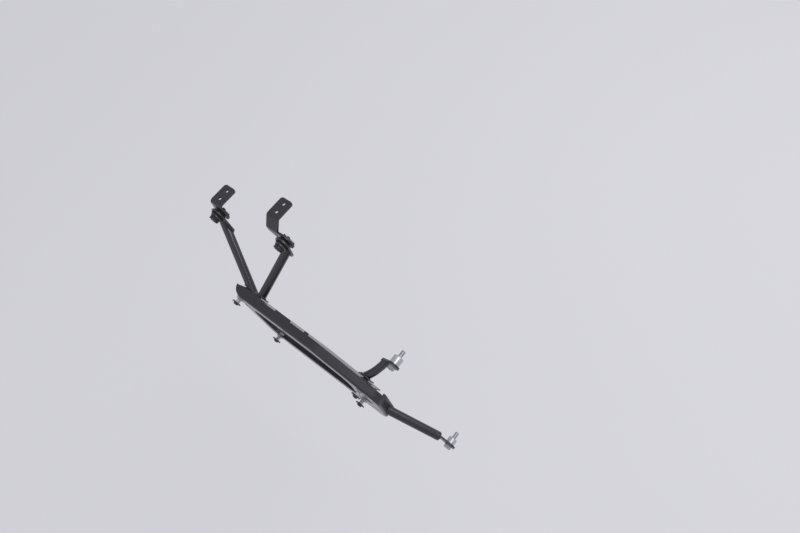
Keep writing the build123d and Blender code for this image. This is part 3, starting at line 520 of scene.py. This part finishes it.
def grown(name, points, edges, tree, values):
    """Run a tree on points and the edges between them, and return its result as a plain mesh."""
    start_mesh = bpy.data.meshes.new(f"{name}_start")
    start_mesh.from_pydata(points, edges, [])
    start = bpy.data.objects.new(f"{name}_start", start_mesh)
    scene.collection.objects.link(start)
    modifier = start.modifiers.new("tree", "NODES")
    modifier.node_group = tree
    for item in tree.interface.items_tree:
        if item.in_out == "INPUT" and item.name in values:
            modifier[item.identifier] = values[item.name]
    graph = bpy.context.evaluated_depsgraph_get()
    mesh = bpy.data.meshes.new_from_object(start.evaluated_get(graph))
    mesh.name = name
    bpy.data.objects.remove(start)
    piece = bpy.data.objects.new(name, mesh)
    scene.collection.objects.link(piece)
    return piece


def cut_line(centre, along, face, radius):
    """Line round a tube where a flat face with the given normal cuts it."""
    along = Vector(along).normalized()
    face = Vector(face)
    side = along.orthogonal().normalized()
    other = along.cross(side)
    points = []
    for step in range(WELD_STEPS):
        turn = 2 * pi * step / WELD_STEPS
        spoke = (side * cos(turn) + other * sin(turn)) * radius
        points.append(Vector(centre) + spoke - along * (spoke.dot(face) / along.dot(face)))
    return points


def foot_line(foot, along):
    """Line round one of the thicker tubes where it meets the inner face of the straight lip."""
    centre = foot + along * ((FOOT_POINT - foot).dot(FOOT_FACE) / along.dot(FOOT_FACE))
    return cut_line(centre, along, FOOT_FACE, TUBE_RADIUS)


def beyond_rear_tube(points, along):
    """Slide each point up its own tube until it is clear of the rear tube, for the notched foot."""
    slid = []
    for point in points:
        # Both directions are taken square to the rear tube, where its wall is a circle.
        step = along - rear_along * along.dot(rear_along)
        gap = point - REAR_FOOT
        gap = gap - rear_along * gap.dot(rear_along)
        a, b, c = step.dot(step), gap.dot(step), gap.dot(gap) - TUBE_RADIUS**2
        inside = b * b - a * c
        reach = (-b + inside**0.5) / a if inside > 0 else 0.0
        slid.append(point + along * max(0.0, reach))
    return slid


rear_along = (REAR_END - REAR_FOOT).normalized()
middle_along = (MIDDLE_END - MIDDLE_FOOT).normalized()
lower_along = LOWER_END - LOWER_FOOT
bead = weld_tree()
once_round = [(step, (step + 1) % WELD_STEPS) for step in range(WELD_STEPS)]
for name, line in (
    ("rear_foot_weld", foot_line(REAR_FOOT, rear_along)),
    ("rear_eye_weld", cut_line(REAR_END, rear_along, ACROSS, TUBE_RADIUS)),
    ("middle_foot_weld", beyond_rear_tube(foot_line(MIDDLE_FOOT, middle_along), middle_along)),
    ("middle_eye_weld", cut_line(MIDDLE_END, middle_along, ACROSS, TUBE_RADIUS)),
    ("front_foot_weld", cut_line(FRONT_FOOT, FRONT_FOOT_ALONG, FRONT_FOOT_FACE, FRONT_TUBE_RADIUS)),
    ("front_eye_weld", cut_line(FRONT_END, FRONT_END_ALONG, ACROSS, FRONT_TUBE_RADIUS)),
    ("lower_foot_weld", cut_line(LOWER_FOOT, lower_along, FORWARD, TUBE_RADIUS)),
):
    weld = grown(
        name,
        line,
        once_round,
        bead,
        {"Ripple Pitch": WELD_PITCH, "Ripple Radius": WELD_RADIUS, "Coat": satin_coat},
    )
    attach(weld, "frame")


# Brackets: a flat steel bar for each release, cut, drilled and bent, with the release's catch
# riveted to it. Each is powder coated by itself in matt black, which shines less than the frame.
matt_coat = black_finish("matt_powder_coat", "#151519", "#1c1c21", 0.52)
finish_nodes(matt_coat, "rear_bracket", "middle_bracket")


# Case studs: a turned stainless spool on the plate, under a black-plated disc that the case's
# keyhole slides behind. A button-head screw from outside and a flange nut inside clamp each one.
# A turning tool leaves lines one feed apart, which run on round the piece.
TURNING_FEED = 0.000185
TURNING_RUN = 0.00555
# Real plating grain is near 0.1 mm, too fine for the view, so it is drawn eleven times as coarse.
PLATING_GRAIN = 0.00111
STAIN = 0.00714
STAIN_SHADE = 0.72
STUDS = ("rear_upper", "rear_lower", "front_upper", "front_lower")


def shaded(hex_colour, share):
    """Linear RGBA for a colour made darker or paler by a share."""
    return [channel * share for channel in linear(hex_colour)[:3]] + [1.0]


def worked_metal(name, colour, roughness, mark_gap, mark_length):
    """Bare or plated metal, a little stained, with tool marks square to the Y axis or an even grain."""
    made, tree = new_material(name)
    place = add_node(tree, "ShaderNodeTexCoord")
    stretched = add_node(
        tree,
        "ShaderNodeMapping",
        {
            "Vector": place.outputs["Object"],
            "Scale": (1 / mark_length, 1 / mark_gap, 1 / mark_length),
        },
    )
    marks = add_node(
        tree, "ShaderNodeTexNoise", {"Vector": stretched.outputs["Vector"], "Scale": 1.0, "Detail": 3.0}
    )
    stain = add_node(
        tree, "ShaderNodeTexNoise", {"Vector": place.outputs["Object"], "Scale": 1 / STAIN, "Detail": 4.0}
    )
    shade = add_node(
        tree,
        "ShaderNodeMix",
        {"Factor": stain.outputs["Fac"], 6: linear(colour), 7: shaded(colour, STAIN_SHADE)},
        data_type="RGBA",
    )
    gloss = add_node(
        tree,
        "ShaderNodeMapRange",
        {"Value": marks.outputs["Fac"], "To Min": roughness - 0.06, "To Max": roughness + 0.10},
    )
    scored = add_node(
        tree, "ShaderNodeBump", {"Height": marks.outputs["Fac"], "Strength": 0.12, "Distance": 0.0002}
    )
    metal = add_node(
        tree,
        "ShaderNodeBsdfPrincipled",
        {
            "Base Color": shade.outputs[2],
            "Metallic": 1.0,
            "Roughness": gloss.outputs["Result"],
            "Normal": scored.outputs["Normal"],
        },
    )
    add_node(tree, "ShaderNodeOutputMaterial", {"Surface": metal.outputs["BSDF"]})
    return made


turned_steel = worked_metal("turned_stainless_steel", "#dcdcde", 0.22, TURNING_FEED, TURNING_RUN)
black_zinc = black_finish("black_zinc_plate", "#26262a", "#34343a", 0.34)
zinc_plate = worked_metal("bright_zinc_plate", "#b9bbc0", 0.32, PLATING_GRAIN, PLATING_GRAIN)
finish_nodes(turned_steel, *(f"{place}_stud_spool" for place in STUDS))
finish_nodes(black_zinc, "case_stud_screws", *(f"{place}_stud_disc" for place in STUDS))
finish_nodes(zinc_plate, "case_stud_nuts")


# Bolts: a zinc-plated M8 hexagon bolt through the front eye and one through the lower eye, each with
# a washer and a spacer turned from aluminium. A rolled thread stands on the bolt's free end.
THREAD_PITCH = 0.00125
THREAD_LENGTH = 0.0100
THREAD_RADIUS = 0.00378
THREAD_RIDGE = 0.00032
PLAIN_TIP = 0.0010


def thread_tree():
    """Geometry Nodes that wind a ridge round the Y axis from each start."""
    tree = bpy.data.node_groups.new("rolled_thread", "GeometryNodeTree")
    for direction, kind, socket in (
        ("INPUT", "NodeSocketGeometry", "Starts"),
        ("INPUT", "NodeSocketFloat", "Turns"),
        ("INPUT", "NodeSocketFloat", "Length"),
        ("INPUT", "NodeSocketFloat", "Thread Radius"),
        ("INPUT", "NodeSocketFloat", "Ridge"),
        ("INPUT", "NodeSocketMaterial", "Plating"),
        ("OUTPUT", "NodeSocketGeometry", "Thread"),
    ):
        tree.interface.new_socket(socket, in_out=direction, socket_type=kind)
    given = add_node(tree, "NodeGroupInput")
    helix = add_node(
        tree,
        "GeometryNodeCurveSpiral",
        {
            "Resolution": 32,
            "Rotations": given.outputs["Turns"],
            "Start Radius": given.outputs["Thread Radius"],
            "End Radius": given.outputs["Thread Radius"],
            "Height": given.outputs["Length"],
        },
    )
    ridge = add_node(
        tree, "GeometryNodeCurvePrimitiveCircle", {"Resolution": 6, "Radius": given.outputs["Ridge"]}
    )
    wound = add_node(
        tree,
        "GeometryNodeCurveToMesh",
        {"Curve": helix.outputs["Curve"], "Profile Curve": ridge.outputs["Curve"], "Fill Caps": True},
    )
    placed = add_node(
        tree,
        "GeometryNodeInstanceOnPoints",
        {
            "Points": given.outputs["Starts"],
            "Instance": wound.outputs["Mesh"],
            "Rotation": (-pi / 2, 0.0, 0.0),
        },
    )
    solid = add_node(tree, "GeometryNodeRealizeInstances", {"Geometry": placed.outputs["Instances"]})
    plated = add_node(
        tree,
        "GeometryNodeSetMaterial",
        {"Geometry": solid.outputs["Geometry"], "Material": given.outputs["Plating"]},
    )
    add_node(tree, "NodeGroupOutput", {"Thread": plated.outputs["Geometry"]})
    return tree


turned_aluminium = worked_metal("turned_aluminium", "#d8d9dd", 0.30, TURNING_FEED, TURNING_RUN)
rolled_thread = thread_tree()
for place in ("front", "lower"):
    finish_nodes(zinc_plate, f"{place}_bolt", f"{place}_washer")
    finish_nodes(turned_aluminium, f"{place}_spacer")
    bolt_low, bolt_high = (Vector(corner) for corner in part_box(f"{place}_bolt"))
    middle = (bolt_low + bolt_high) / 2
    thread_start = Vector((middle.x, bolt_high.y - THREAD_LENGTH - PLAIN_TIP, middle.z))
    thread = grown(
        f"{place}_bolt_thread",
        [thread_start],
        [],
        rolled_thread,
        {
            "Turns": THREAD_LENGTH / THREAD_PITCH,
            "Length": THREAD_LENGTH,
            "Thread Radius": THREAD_RADIUS,
            "Ridge": THREAD_RIDGE,
            "Plating": zinc_plate,
        },
    )
    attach(thread, "frame")


# Quarter-turn releases: a black nylon knob, moulded with its shank, turns in a rubber grommet over a
# black-plated steel cup. A zinc-plated clip keeps the shank in its eye, and its cross pin locks
# behind the black-plated catch, which two rivets fix to the bracket.
# A mould's real grain is near 0.2 mm, too fine for the view, so it is drawn four to six times as
# coarse.
NYLON_GRAIN = 0.0008
RUBBER_GRAIN = 0.0012
BLOOM = 0.0167
BLOOM_SHADE = 1.5


def moulded(name, colour, roughness, grain_size):
    """Moulded black plastic or rubber with an even grain."""
    made, tree = new_material(name)
    place = add_node(tree, "ShaderNodeTexCoord")
    grain = add_node(
        tree,
        "ShaderNodeTexVoronoi",
        {"Vector": place.outputs["Object"], "Scale": 1 / grain_size},
    )
    bloom = add_node(
        tree, "ShaderNodeTexNoise", {"Vector": place.outputs["Object"], "Scale": 1 / BLOOM, "Detail": 4.0}
    )
    shade = add_node(
        tree,
        "ShaderNodeMix",
        {"Factor": bloom.outputs["Fac"], 6: linear(colour), 7: shaded(colour, BLOOM_SHADE)},
        data_type="RGBA",
    )
    texture = add_node(
        tree,
        "ShaderNodeBump",
        {"Height": grain.outputs["Distance"], "Strength": 0.2, "Distance": 0.0003},
    )
    skin = add_node(
        tree,
        "ShaderNodeBsdfPrincipled",
        {
            "Base Color": shade.outputs[2],
            "Roughness": roughness,
            "IOR": 1.5,
            "Normal": texture.outputs["Normal"],
        },
    )
    add_node(tree, "ShaderNodeOutputMaterial", {"Surface": skin.outputs["BSDF"]})
    return made


knob_plastic = moulded("glass_filled_nylon", "#18181b", 0.48, NYLON_GRAIN)
grommet_rubber = moulded("moulded_rubber", "#141415", 0.72, RUBBER_GRAIN)
for release in ("rear_release", "middle_release"):
    finish_nodes(knob_plastic, f"{release}_stud")
    finish_nodes(grommet_rubber, f"{release}_grommet")
    finish_nodes(black_zinc, f"{release}_cup", f"{release}_catch")
    finish_nodes(zinc_plate, f"{release}_cross_pin", f"{release}_clip", f"{release}_rivets")
